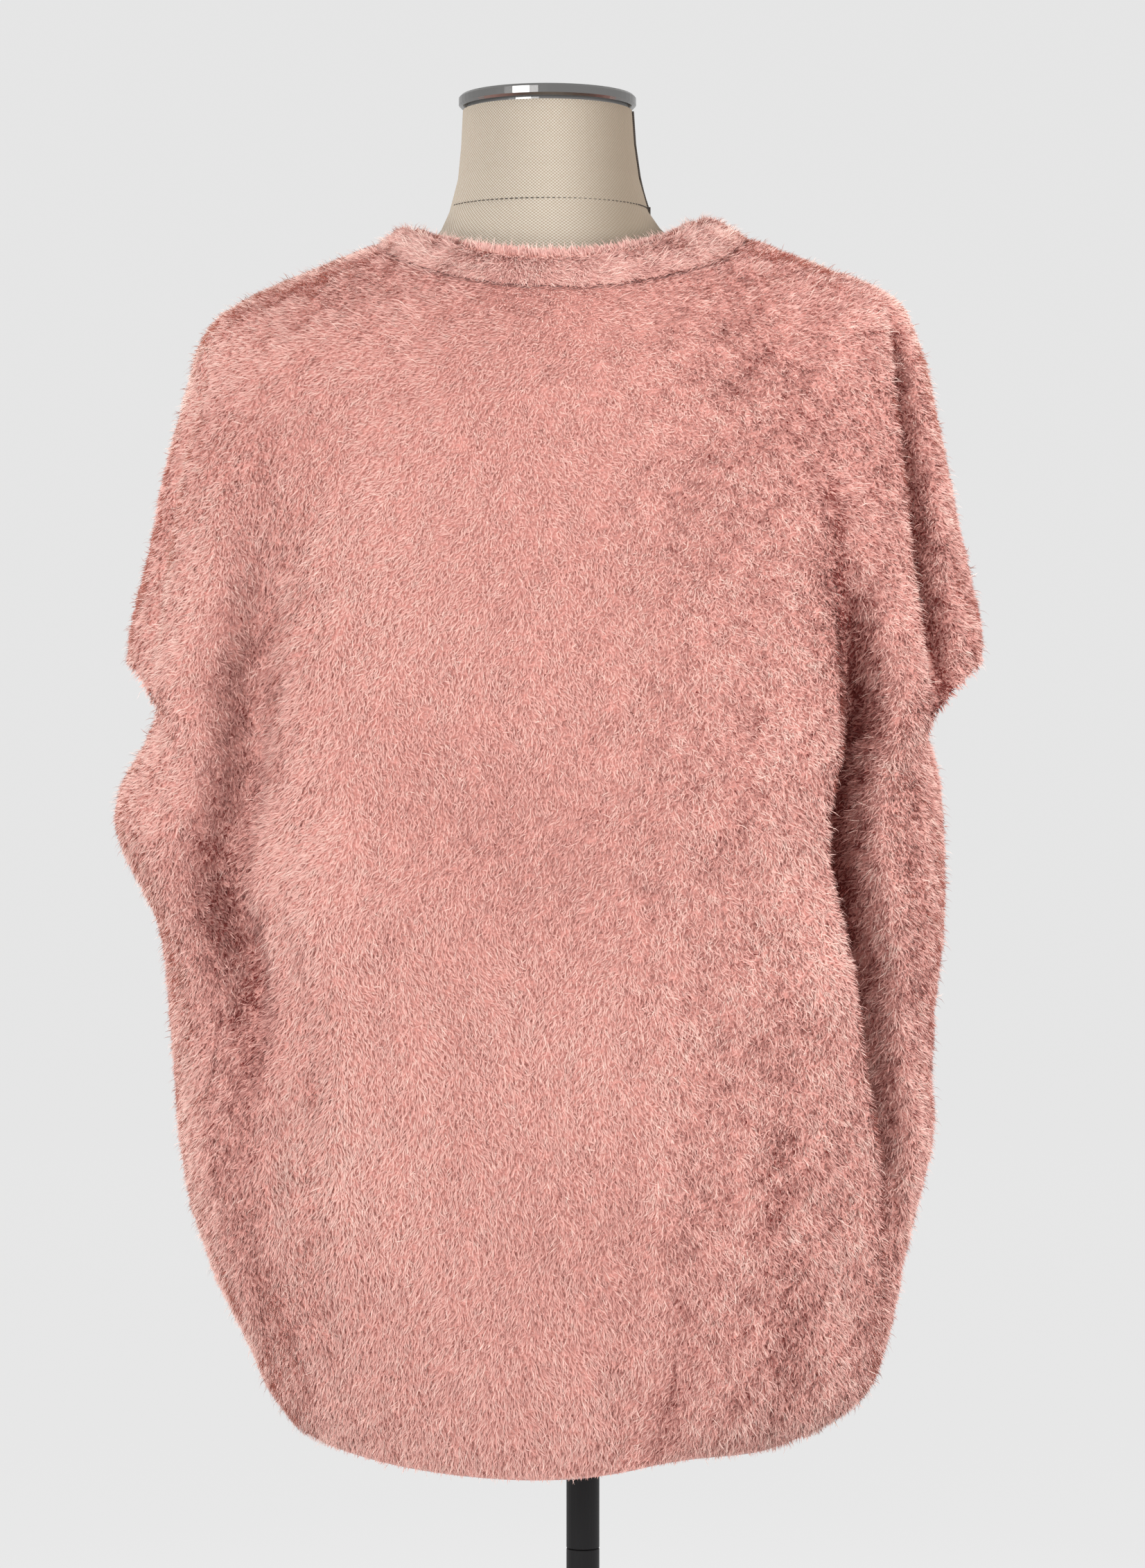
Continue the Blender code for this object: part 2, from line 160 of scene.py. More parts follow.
# Painted shade and painted light on the pile's colour: darker in its folds, creases and gaps where
# shade falls, paler on lit ridges, lobe edges and shoulder tops. depth is how much darker, or paler
# if negative
PAINTED_PILE_SHADE_AND_LIGHT = [
    Fold("back", "left", 6.0, 21.5, 48, 43, 39, 0.6, 7.5),
    Fold("back", "left", 0.6, 9.0, 3, 4, 3, -0.5, 8.0),
    Fold("back", "right", 0.6, 9.0, 3, 4, 3, -0.5, 7.0),
    Fold("back", "left", 12.0, 25.5, 40, 37, 27, 0.5, 9.0),
    Fold("back", "left", 4.8, 12.9, 11, 13, 23, 0.08, 2.4),
    Fold("back", "left", 4.8, 12.9, 16, 18, 28, -0.25, 2.6),
    Fold("back", "left", 11.0, 24.0, 64, 63, 56, -0.1, 4.5),
    Fold("back", "right", 3.4, 13.6, 11, 24, 26.5, 1.4, 1.8),
    Fold("back", "right", 3.4, 13.6, 9, 22, 24.5, 0.3, 3.0),
    Fold("back", "right", 6.0, 25.2, 50.5, 41.5, 14.5, 0.55, 4.5),
    Fold("back", "right", 6.0, 25.2, 50.5, 41.5, 14.5, 1.4, 2.3),
    Fold("back", "right", 6.0, 26.0, 60, 53, 28, -0.2, 6.0),
    Fold("back", "right", 2.5, 8.5, 70, 60, 55, 0.2, 10.0),
    Fold("back", "right", 24.6, 26.95, 75, 74, 73, 0.45, 3.0),
    Fold("back", "right", 19.0, 26.95, 60, 55, 50, 0.25, 8.0),
    Fold("front", "left", 5.0, 12.9, 24, 22, 20, 0.4, 4.0),
    Fold("front", "left", 8.5, 22.0, 52, 49, 44, 0.7, 5.0),
    Fold("front", "right", 5.0, 12.9, 26, 24, 22, 0.4, 4.0),
    Fold("front", "right", 8.5, 23.0, 54, 50, 44, 0.7, 5.0),
]

# The pile stands up more from here to the right, and near the left side: where it starts, and over
# how many metres it grows
RIGHT_FROM = -0.02
RIGHT_REACH = 0.14
LEFT_FROM = -0.19
LEFT_REACH = 0.05
LEFT_MOST = 0.7
# Above this row the pile points up
UPWARD_ROW = 0.45
# How far it leans to the side, in degrees: patch by patch, and strand by strand
PATCH_LEAN = 30
STRAND_LEAN = 26
# How high its tips stand, in metres: everywhere, patch by patch, how much more of that where it
# stands up, and strand by strand
TIP_HEIGHT = 0.0003
PATCH_HEIGHT = 0.0004
RAISED_HEIGHT = 0.0011
STRAND_HEIGHT = 0.0002
# How deep a strand is rooted, as a share of the pile's depth
SPIKE_ROOT = 0.85
HAIR_ROOT = 0.6
# How much longer than the pile a hair is, and how far it stands out at least and at most more
HAIR_REACH = 1.5
HAIR_OUT = 0.0008
HAIR_MORE_OUT = 0.0042
# A strand's paleness on its map: the usual, how much it changes over wide patches and in clumps,
# how much paler it is at the left (painted light from that side) and for each metre of its tip's
# height (painted highlight on raised tips), and its least and most
PALE_USUAL = 0.52
PALE_WIDE = 0.05
PALE_CLUMPS = 0.17
PAINTED_LEFT_LIGHT = 0.11
PAINTED_TIP_HIGHLIGHT = 60
PALE_LEAST = 0.02
PALE_MOST = 0.97

# Layers of soft noise: how much of each, its waves a metre, its seed and how many waves it sums
CLOTH_LUMPS = [(0.9, 9.0, 11, 10), (0.5, 24.0, 12, 10)]
CLUMPS = [(0.6, 75.0, 22, 10), (0.6, 32.0, 23, 10)]
LEANS = [(0.75, 9.0, 31, 10), (0.7, 38.0, 32, 10), (0.55, 120.0, 33, 14)]
TUFTS = [(0.6, 70.0, 41, 14), (0.6, 150.0, 42, 14)]

# The fine grid that every cloth piece is read from: steps a row, and degrees a step
GRID_ROW_STEPS = 12
GRID_TURN_STEP = 0.5
# The columns of the rings' table that the sides' reach is in
SIDE_COLUMNS = (5, 6)
# Degrees from the side seams between which the step at the sleeves' ends fades out
EVEN_FROM = 14.0
EVEN_TO = 38.0

# shade is the painted shade for the pile's colour, or painted light where it is negative
Grid = collections.namedtuple("Grid", "rows turns points normals down shade")


def rings_at(rows):
    """The cloth's rings at these rows, each value on a smooth curve through the table."""
    table = np.array(CLOTH_RINGS, float)
    index = np.searchsorted(table[:, 0], rows, side="right") - 1
    index = np.clip(index, 0, len(table) - 2)
    low, high = table[index], table[index + 1]
    before = table[np.maximum(index - 1, 0)]
    after = table[np.minimum(index + 2, len(table) - 1)]
    span = high[:, :1] - low[:, :1]
    t = (rows[:, None] - low[:, :1]) / span
    start = (high - before) / (high[:, :1] - before[:, :1]) * span
    end = (after - low) / (after[:, :1] - low[:, :1]) * span
    return (
        (2 * t**3 - 3 * t**2 + 1) * low
        + (t**3 - 2 * t**2 + t) * start
        + (3 * t**2 - 2 * t**3) * high
        + (t**3 - t**2) * end
    )


def evened(rings):
    """The rings with the sleeves' ends smoothed away, for the cloth away from the sides."""
    steps = 2 * GRID_ROW_STEPS
    weights = np.exp(-((np.arange(-steps, steps + 1) / GRID_ROW_STEPS) ** 2))
    smooth = rings.copy()
    for column in SIDE_COLUMNS:
        padded = np.pad(rings[:, column], steps, mode="reflect", reflect_type="odd")
        smooth[:, column] = np.convolve(padded, weights / weights.sum(), mode="valid")
    return smooth


def ring_points(rings, turns):
    """Points in millimetres. turns are degrees: 180 left, 270 back, 360 right, 450 front."""
    across = np.cos(np.radians(turns))[None, :]
    along = np.sin(np.radians(turns))[None, :]
    left_z, right_z, back_z, front_z, left, right, back, front, square = (
        rings[:, 1:].T[:, :, None]
    )
    power = 2 / square
    x = (left + right) / 2 + (right - left) / 2 * np.sign(across) * np.abs(across) ** power
    depth = np.where(along > 0, front, -back)
    y = depth * np.sign(along) * np.abs(along) ** power
    side_z = left_z + (right_z - left_z) * (across + 1) / 2
    centre_z = np.where(along > 0, front_z, back_z)
    z = side_z + (centre_z - side_z) * np.abs(along) ** SAG_POWER
    fade = np.maximum(0, rings[:, :1] - HEM_LIFT_FIRST_ROW) / (HEM_ROW - HEM_LIFT_FIRST_ROW)
    lift = np.exp(-(((turns - HEM_LIFT_TURN) / HEM_LIFT_SPREAD) ** 2))
    return np.stack([x, y, z + HEM_LIFT * fade * lift[None, :]], axis=-1)


def from_side(turns):
    """(on the front, on the left, degrees from the side seam) of places on a ring."""
    across = np.cos(np.radians(turns))
    along = np.sin(np.radians(turns))
    return along > 0, across < 0, np.degrees(np.arctan2(np.abs(along), np.abs(across)))


def fold_depths(folds, rows, turns):
    """How far these folds push the cloth in, in millimetres, on the grid of rows and turns."""
    on_front, on_left, angle = from_side(turns)
    total = np.zeros((len(rows), len(turns)))
    for fold in folds:
        here = (on_front == (fold.panel == "front")) & (on_left == (fold.side == "left"))
        t = (rows - fold.top_row) / (fold.bottom_row - fold.top_row)
        fade = np.clip(np.minimum(t, 1 - t) / FOLD_FADE, 0, 1)
        middle = (
            fold.top_angle * (1 - t) * (1 - 2 * t)
            + fold.mid_angle * 4 * t * (1 - t)
            + fold.bottom_angle * t * (2 * t - 1)
        )
        shape = np.exp(-(((angle[None, :] - middle[:, None]) / fold.width) ** 2))
        strength = fold.depth * fade * fade * (3 - 2 * fade)
        total += strength[:, None] * shape * here[None, :]
    return total


def cuff_angles(turns):
    """How far the cuff openings reach from the side seams at these turns, in degrees."""
    on_front, on_left, _ = from_side(turns)
    columns = np.zeros(np.shape(turns))
    for (front, left), count in CUFF_COLUMNS.items():
        columns[(on_front == front) & (on_left == left)] = count
    return columns * 180 / PANEL_COLUMNS


def underarm_depths(rows, turns):
    """How far the side of the body tucks in below the cuffs, in millimetres."""
    share = np.minimum(from_side(turns)[2] / cuff_angles(turns), 1)
    window = np.cos(np.pi / 2 * share) ** 2
    first = CUFF_ROW + 1
    fade = np.where(rows >= first, np.exp(-(((rows - first) / UNDERARM_ROWS) ** 2)), 0)
    return UNDERARM_TUCK * fade[:, None] * window[None, :]


def unit(vectors):
    return vectors / np.maximum(np.linalg.norm(vectors, axis=-1, keepdims=True), 1e-9)


def soft_noise(points, scale, seed, waves):
    """Smooth noise from -1 to 1 over points in metres: a sum of waves in seeded directions."""
    rng = np.random.default_rng(seed)
    total = np.zeros(points.shape[:-1])
    for _ in range(waves):
        direction = unit(rng.normal(size=3)) * scale * rng.uniform(0.6, 1.5)
        total += np.sin(points @ direction * 2 * np.pi + rng.uniform(0, 2 * np.pi))
    return total / math.sqrt(waves * 2)


def layered(points, layers):
    """A sum of soft noises, from -1 to 1 or a little past it."""
    return sum(share * soft_noise(points, *layer) for share, *layer in layers)


def grid_ways(points, rows):
    """(outward normals, ways down) of a grid of points, kept from reaching across a cuff."""
    down = np.gradient(points, axis=0)
    first = int(np.flatnonzero(np.isclose(rows, CUFF_ROW + 1))[0])
    down[first] = points[first + 1] - points[first]
    around = np.empty_like(points)
    around[:, 1:-1] = points[:, 2:] - points[:, :-2]
    around[:, 0] = around[:, -1] = points[:, 1] - points[:, -2]
    normals = unit(np.cross(down, around))
    return normals, unit(down)


def cloth_grid():
    """The cloth's outer face on a fine grid all the way round, in metres."""
    rows = np.linspace(NECK_EDGE_ROW, HEM_ROW, HEM_ROW * GRID_ROW_STEPS + 1)
    turns = np.arange(180.0, 540.0 + GRID_TURN_STEP / 2, GRID_TURN_STEP)
    rings = rings_at(rows)
    plain = ring_points(rings, turns) * MM
    even = ring_points(evened(rings), turns) * MM
    off_side = np.clip((from_side(turns)[2] - EVEN_FROM) / (EVEN_TO - EVEN_FROM), 0, 1)
    plain = plain + (even - plain) * (off_side * off_side * (3 - 2 * off_side))[:, None]
    normals, _ = grid_ways(plain, rows)
    depth = fold_depths(FOLDS, rows, turns) + underarm_depths(rows, turns)
    depth += fold_depths(CREASES, rows, turns)
    settled = np.clip((rows - 1.0) / 3.0, 0, 1) * np.clip((HEM_ROW + 0.3 - rows) / 2.0, 0, 1)
    depth = depth + layered(plain, CLOTH_LUMPS) * settled[:, None]
    seam = np.exp(-(((rows - NECK_SEAM_ROW) / NECK_SEAM_WIDTH) ** 2))
    depth = depth + NECK_SEAM_DIP * seam[:, None]
    points = plain - normals * depth[..., None] * MM
    normals, down = grid_ways(points, rows)
    # Painted shade in the folds and painted light on the ridges, for the pile's colour
    shade = fold_depths(PAINTED_PILE_SHADE_AND_LIGHT, rows, turns)
    return Grid(rows, turns, points, normals, down, shade[..., None])


def in_cuff_gap(rows, turns):
    """Whether places are in the opening of a cuff, between its edge and the underarm."""
    angle = from_side(turns)[2]
    return (rows > CUFF_ROW) & (rows < CUFF_ROW + 1) & (angle < cuff_angles(turns))


class PulloverCloth(bpy.types.PropertyGroup):
    pile_depth: FloatProperty(
        name="Pile depth",
        description="How far the knit lies under the outside of the pile",
        default=0.0030,
        subtype="DISTANCE",
        unit="LENGTH",
    )
    knit_thickness: FloatProperty(
        name="Knit thickness",
        description="Thickness of the knitted ground that holds the pile",
        default=0.002,
        subtype="DISTANCE",
        unit="LENGTH",
    )
    pile_length: FloatProperty(
        name="Pile length",
        description="Mean length of one strand of the pile",
        default=0.0034,
        subtype="DISTANCE",
        unit="LENGTH",
    )
    hair_width: FloatProperty(
        name="Hair width",
        description="Width of one strand of the pile",
        default=0.00032,
        subtype="DISTANCE",
        unit="LENGTH",
    )
    spike_width: FloatProperty(
        name="Pile strand width",
        description="Width at the root of one strand of the short pile",
        default=0.0010,
        subtype="DISTANCE",
        unit="LENGTH",
    )
    tip_colour: FloatVectorProperty(
        name="Tip colour",
        description="Colour of the pile's tips",
        default=(0.77, 0.415, 0.365),
        size=3,
        subtype="COLOR",
    )
    # The pale end carries tone that differs at random, and also painted light on the left, on lit
    # ridges, on raised tips and on standing hairs
    pale_colour: FloatVectorProperty(
        name="Pale tip colour",
        description="Colour of the palest tips",
        default=(0.88, 0.66, 0.58),
        size=3,
        subtype="COLOR",
    )
    # Painted shade: the pile's colour deep in a fold, where shade falls
    fold_shade_colour: FloatVectorProperty(
        name="Painted fold shade",
        description="Colour of the pile deep in a fold",
        default=(0.17, 0.022, 0.018),
        size=3,
        subtype="COLOR",
    )
    # Painted shade between the strands: the pile darkens towards its roots with this colour; the
    # knit's darker stitches use it too
    root_colour: FloatVectorProperty(
        name="Root colour",
        description="Colour of the pile near the knit",
        default=(0.65, 0.295, 0.25),
        size=3,
        subtype="COLOR",
    )


class PulloverForm(bpy.types.PropertyGroup):
    linen_colour: FloatVectorProperty(
        name="Linen colour",
        description="Main colour of the dress form's cover",
        default=(0.53, 0.485, 0.415),
        size=3,
        subtype="COLOR",
    )
    fleck_colour: FloatVectorProperty(
        name="Fleck colour",
        description="Colour of the darker threads in the linen",
        default=(0.36, 0.29, 0.22),
        size=3,
        subtype="COLOR",
    )
    gap_colour: FloatVectorProperty(
        name="Gap colour",
        description="Colour between the threads of the canvas",
        default=(0.30, 0.235, 0.17),
        size=3,
        subtype="COLOR",
    )
    threads_round: IntProperty(
        name="Threads round",
        description="Pairs of threads round the neck",
        default=164,
    )
    thread_height: FloatProperty(
        name="Thread height",
        description="Height of one repeat of the weave",
        default=0.0019,
        subtype="DISTANCE",
        unit="LENGTH",
    )
    piping_radius: FloatProperty(
        name="Piping radius",
        description="Radius of the dark cord down the right of the neck",
        default=0.0009,
        subtype="DISTANCE",
        unit="LENGTH",
    )


class PulloverStand(bpy.types.PropertyGroup):
    chrome_colour: FloatVectorProperty(
        name="Chrome colour",
        description="Colour of the neck cap",
        default=(0.27, 0.265, 0.26),
        size=3,
        subtype="COLOR",
    )
    black_colour: FloatVectorProperty(
        name="Black colour",
        description="Colour of the painted pole and base",
        default=(0.0085, 0.008, 0.0085),
        size=3,
        subtype="COLOR",
    )


class PulloverStudio(bpy.types.PropertyGroup):
    key_power: FloatProperty(
        name="Key light",
        description="Power of the large light at the left, in watts",
        default=31.0,
    )
    fill_power: FloatProperty(
        name="Fill light",
        description="Power of the light at the right, in watts",
        default=92.0,
    )
    front_power: FloatProperty(
        name="Front lights",
        description="Power of each of the two lights before the garment's front, in watts",
        default=54.0,
    )
    low_power: FloatProperty(
        name="Low light",
        description="Power of the light near the floor at the left, in watts",
        default=50.0,
    )
    top_power: FloatProperty(
        name="Top light",
        description="Power of the light overhead, in watts",
        default=24.0,
    )
    sky_strength: FloatProperty(
        name="Room light",
        description="Strength of the even light from all round",
        default=0.64,
    )
    paper_glow: FloatProperty(
        name="Paper glow",
        description="How much the paper is lit from behind",
        default=0.88,
    )
    paper_colour: FloatVectorProperty(
        name="Paper colour",
        description="Colour of the floor and the backdrop",
        default=(0.80, 0.80, 0.80),
        size=3,
        subtype="COLOR",
    )


def socket(group, name, in_out, kind, default=None):
    made = group.interface.new_socket(name=name, in_out=in_out, socket_type=kind)
    if default is not None:
        made.default_value = default
    return made


def fill(tree, node, inputs):
    """Sets a node's inputs by name: to a value, or linked to an output socket."""
    for name, value in inputs.items():
        if isinstance(value, bpy.types.NodeSocket):
            tree.links.new(value, node.inputs[name])
        else:
            node.inputs[name].default_value = value
    return node


def new_node(tree, kind, inputs=None, **values):
    """A new node with these inputs, and these values of its own."""
    made = tree.nodes.new(kind)
    for name, value in values.items():
        setattr(made, name, value)
    return fill(tree, made, inputs or {})


def linen_group():
    """Canvas threads round the neck: a mask of pale dots and one of darker flecks."""
    group = bpy.data.node_groups.new("canvas threads", "ShaderNodeTree")
    socket(group, "Vector", "INPUT", "NodeSocketVector")
    socket(group, "Threads round", "INPUT", "NodeSocketFloat", 180.0)
    socket(group, "Thread height", "INPUT", "NodeSocketFloat", 0.0018)
    socket(group, "Weave", "OUTPUT", "NodeSocketFloat")
    socket(group, "Flecks", "OUTPUT", "NodeSocketFloat")

    def maths(operation, *values):
        inputs = dict(enumerate(values))
        return new_node(group, "ShaderNodeMath", inputs, operation=operation).outputs[0]

    inside = new_node(group, "NodeGroupInput")
    split = new_node(group, "ShaderNodeSeparateXYZ", {"Vector": inside.outputs["Vector"]})
    from_axis = maths("SUBTRACT", split.outputs["X"], FORM_CENTRE_X)
    angle = maths("ARCTAN2", split.outputs["Y"], from_axis)
    around = maths("SINE", maths("MULTIPLY", angle, inside.outputs["Threads round"]))
    height = maths("DIVIDE", split.outputs["Z"], inside.outputs["Thread height"])
    along = maths("SINE", maths("MULTIPLY", height, 2 * math.pi))
    weave = maths("MULTIPLY_ADD", maths("MULTIPLY", around, along), 0.5, 0.5)
    masks = []
    for stretch in ((260.0, 260.0, 1100.0), (1100.0, 1100.0, 240.0)):
        inputs = {"Scale": stretch, "Vector": inside.outputs["Vector"]}
        place = new_node(group, "ShaderNodeMapping", inputs).outputs[0]
        inputs = {"Scale": 1.0, "Detail": 2.0, "Vector": place}
        noise = new_node(group, "ShaderNodeTexNoise", inputs).outputs["Fac"]
        inputs = {"From Min": 0.5, "From Max": 0.75, "Value": noise}
        masks.append(new_node(group, "ShaderNodeMapRange", inputs).outputs[0])
    new_node(group, "NodeGroupOutput", {"Weave": weave, "Flecks": maths("MAXIMUM", *masks)})
    return group


def plain_material(name):
    """A new material with its Principled shader and output."""
    made = bpy.data.materials.new(name)
    made.use_nodes = True
    return made, made.node_tree, made.node_tree.nodes["Principled BSDF"]


def mixed(tree, factor, first, second):
    """A colour mix: factor is an output socket, first and second are colours or output sockets."""
    made = new_node(tree, "ShaderNodeMix", data_type="RGBA")
    tree.links.new(factor, made.inputs["Factor"])
    for name, colour in (("A", first), ("B", second)):
        target = next(s for s in made.inputs if s.name == name and s.type == "RGBA")
        if isinstance(colour, bpy.types.NodeSocket):
            tree.links.new(colour, target)
        else:
            target.default_value = (*colour, 1.0)
    return next(s for s in made.outputs if s.type == "RGBA")


def pile_material(settings):
    """Wool pile. The map's u is how pale a strand is, from painted fold shade to pale tips, and v
    runs from its root, painted darker, to its tip.
    """
    made, tree, shader = plain_material("wool pile")
    uv = new_node(tree, "ShaderNodeUVMap", uv_map="OFBake")
    split = new_node(tree, "ShaderNodeSeparateXYZ", {"Vector": uv.outputs[0]})
    tones = new_node(tree, "ShaderNodeValToRGB", {"Fac": split.outputs["X"]})
    tones.color_ramp.elements.new(0.5)
    colours = (settings.fold_shade_colour, settings.tip_colour, settings.pale_colour)
    for element, place, colour in zip(tones.color_ramp.elements, (0.0, 0.5, 1.0), colours):
        element.position = place
        element.color = (*colour, 1.0)
    height = new_node(
        tree,
        "ShaderNodeMapRange",
        {"From Min": 0.02, "From Max": 0.75, "Value": split.outputs["Y"]},
        interpolation_type="SMOOTHSTEP",
    )
    # Painted shade: each strand darkens from its tip down to its root
    painted_root_shade = [value / settings.tip_colour[i] for i, value in enumerate(settings.root_colour)]
    fade = mixed(tree, height.outputs[0], painted_root_shade, (1.0, 1.0, 1.0))
    both = new_node(tree, "ShaderNodeMix", {"Factor": 1.0}, data_type="RGBA", blend_type="MULTIPLY")
    first, second = [s for s in both.inputs if s.type == "RGBA"]
    tree.links.new(tones.outputs["Color"], first)
    tree.links.new(fade, second)
    finish = {
        "Base Color": next(s for s in both.outputs if s.type == "RGBA"),
        "Roughness": 0.8,
        "Specular IOR Level": 0.25,
        "Sheen Weight": 0.2,
        "Sheen Roughness": 0.4,
        "Sheen Tint": (1.0, 0.86, 0.78, 1.0),
    }
    fill(tree, shader, finish)
    return made


def knit_material(settings):
    """The knitted ground: soft ribs of stitches on the piece's own map, in metres."""
    made, tree, shader = plain_material("wool knit")
    uv = new_node(tree, "ShaderNodeUVMap", uv_map="Knit").outputs[0]
    ribs = {"Scale": 90.0, "Distortion": 1.2, "Detail Scale": 2.0, "Vector": uv}
    loops = {"Scale": 130.0, "Distortion": 2.0, "Vector": uv}
    waves = [
        new_node(tree, "ShaderNodeTexWave", inputs, wave_type="BANDS", bands_direction=way)
        for inputs, way in ((ribs, "X"), (loops, "Y"))
    ]
    inputs = {place: wave.outputs["Fac"] for place, wave in enumerate(waves)}
    stitches = new_node(tree, "ShaderNodeMath", inputs, operation="MULTIPLY").outputs[0]
    raised = {"Strength": 0.6, "Distance": 0.0006, "Height": stitches}
    finish = {
        "Base Color": mixed(tree, stitches, settings.root_colour, settings.tip_colour),
        "Normal": new_node(tree, "ShaderNodeBump", raised).outputs[0],
        "Roughness": 0.95,
        "Sheen Weight": 0.3,
    }
    fill(tree, shader, finish)
    return made


def link_object(name, mesh):
    made = bpy.data.objects.new(name, mesh)
    bpy.context.scene.collection.objects.link(made)
    return made


def knit_shell(grid, settings, name, first_row, last_row, first_turn, last_turn, steps):
    """A thin closed shell of knit under the pile: steps are grid rows and turns a face."""
    row_step, turn_step = steps
    top = int(round(first_row * GRID_ROW_STEPS))
    bottom = int(round(last_row * GRID_ROW_STEPS))
    left = int(round((first_turn - 180.0) / GRID_TURN_STEP))
    right = int(round((last_turn - 180.0) / GRID_TURN_STEP))
    rows = list(range(top, bottom, row_step)) + [bottom]
    turns = list(range(left, right, turn_step)) + [right]
    bm = bmesh.new()
    bmesh.ops.create_grid(bm, x_segments=len(turns) - 1, y_segments=len(rows) - 1, size=0.5)
    uv = bm.loops.layers.uv.new("Knit")
    inward = bm.verts.layers.float_vector.new("inward")
    points = grid.points[np.ix_(rows, turns)]
    normals = grid.normals[np.ix_(rows, turns)]
    outer = points - normals * settings.pile_depth
    around = np.linalg.norm(np.diff(outer, axis=1), axis=-1)
    u = np.concatenate([np.zeros((len(rows), 1)), np.cumsum(around, axis=1)], axis=1)
    along = np.linalg.norm(np.diff(outer, axis=0), axis=-1)
    v = -np.concatenate([np.zeros((1, len(turns))), np.cumsum(along, axis=0)], axis=0)
    row_values = grid.rows[rows]
    turn_values = grid.turns[turns]
    holes = []
    places = {}
    for vert in bm.verts:
        i = round((0.5 - vert.co.y) * (len(rows) - 1))
        j = round((vert.co.x + 0.5) * (len(turns) - 1))
        places[vert] = (i, j)
        vert[inward] = Vector(-normals[i, j] * settings.knit_thickness)
    for face in bm.faces:
        i = sum(places[vert][0] for vert in face.verts) / 4
        j = sum(places[vert][1] for vert in face.verts) / 4
        row = np.interp(i, range(len(rows)), row_values)
        turn = np.interp(j, range(len(turns)), turn_values)
        if in_cuff_gap(np.array([row]), np.array([turn]))[0]:
            holes.append(face)
        for loop in face.loops:
            loop[uv].uv = (u[places[loop.vert]], v[places[loop.vert]])
    for vert, (i, j) in places.items():
        vert.co = Vector(outer[i, j])
    bmesh.ops.delete(bm, geom=holes, context="FACES")
    bmesh.ops.remove_doubles(bm, verts=bm.verts, dist=0.00001)
    area = sum(face.calc_area() for face in bm.faces)
    made = bmesh.ops.extrude_face_region(bm, geom=bm.faces[:], use_keep_orig=True)
    for item in made["geom"]:
        if isinstance(item, bmesh.types.BMVert):
            item.co += item[inward]
    bmesh.ops.recalc_face_normals(bm, faces=bm.faces)
    mesh = bpy.data.meshes.new(name)
    bm.to_mesh(mesh)
    bm.free()
    mesh.shade_smooth()
    widest = float(u[:, -1].max())
    longest = float(-v[-1].min())
    return link_object(name, mesh), (widest, longest), area


Places = collections.namedtuple("Places", "points normals down shade row")


def sample_places(grid, rng, count, rows, turns):
    """Seeded places spread evenly over the cloth between these rows and turns."""
    i0, i1 = (int(round(row * GRID_ROW_STEPS)) for row in rows)
    j0, j1 = (int(round((turn - 180.0) / GRID_TURN_STEP)) for turn in turns)
    points = grid.points[i0 : i1 + 1, j0 : j1 + 1]
    down = points[1:, :-1] - points[:-1, :-1]
    around = points[:-1, 1:] - points[:-1, :-1]
    area = np.linalg.norm(np.cross(down, around), axis=-1)
    row_mid = (grid.rows[i0:i1] + grid.rows[i0 + 1 : i1 + 1]) / 2
    turn_mid = (grid.turns[j0:j1] + grid.turns[j0 + 1 : j1 + 1]) / 2
    gap = in_cuff_gap(row_mid[:, None], turn_mid[None, :])
    area = np.where(gap, 0, area)
    total = np.cumsum(area.ravel())
    picked = np.searchsorted(total, rng.uniform(0, total[-1], count))
    i = picked // area.shape[1] + i0
    j = picked % area.shape[1] + j0
    a = rng.uniform(size=count)[:, None]
    b = rng.uniform(size=count)[:, None]

    def between(values):
        return (
            values[i, j] * (1 - a) * (1 - b)
            + values[i + 1, j] * a * (1 - b)
            + values[i, j + 1] * (1 - a) * b
            + values[i + 1, j + 1] * a * b
        )

    row = grid.rows[i] + a[:, 0] / GRID_ROW_STEPS
    return Places(
        between(grid.points),
        unit(between(grid.normals)),
        unit(between(grid.down)),
        between(grid.shade)[:, 0],
        row,
    )


Strands = collections.namedtuple("Strands", "points faces map normals")

# A spike is one narrow triangle of short pile, and a hair is a ribbon that narrows to a point
SPIKE_FACES = [(0, 1, 2)]
HAIR_FACES = [(0, 1, 3, 2), (2, 3, 4)]


def strand_mesh(name, groups, material):
    """Joins groups of strands in one mesh, with the map that their colours are read from."""
    mesh = bpy.data.meshes.new(name)
    points = np.concatenate([group.points.reshape(-1, 3) for group in groups])
    normals = np.concatenate([group.normals.reshape(-1, 3) for group in groups])
    corners, starts, places = [], [], []
    first_point = first_corner = 0
    for group in groups:
        count, size = group.points.shape[:2]
        flat = np.concatenate([np.array(face) for face in group.faces])
        each = np.arange(count)[:, None]
        corners.append((first_point + each * size + flat[None, :]).ravel())
        begin = np.cumsum([0] + [len(face) for face in group.faces])[:-1]
        starts.append((first_corner + each * len(flat) + begin[None, :]).ravel())
        places.append(group.map[:, flat].reshape(-1, 2))
        first_point += count * size
        first_corner += count * len(flat)
    corners = np.concatenate(corners).astype(np.int32)
    starts = np.concatenate(starts).astype(np.int32)
    mesh.vertices.add(len(points))
    mesh.vertices.foreach_set("co", points.astype(np.float32).ravel())
    mesh.loops.add(len(corners))
    mesh.loops.foreach_set("vertex_index", corners)
    mesh.polygons.add(len(starts))
    mesh.polygons.foreach_set("loop_start", starts)
    mesh.update(calc_edges=True)
    uv = mesh.uv_layers.new(name="OFBake")
    uv.data.foreach_set("uv", np.concatenate(places).astype(np.float32).ravel())
    mesh.shade_smooth()
    mesh.normals_split_custom_set_from_vertices(normals.astype(np.float32))
    mesh.materials.append(material)
    return link_object(name, mesh)


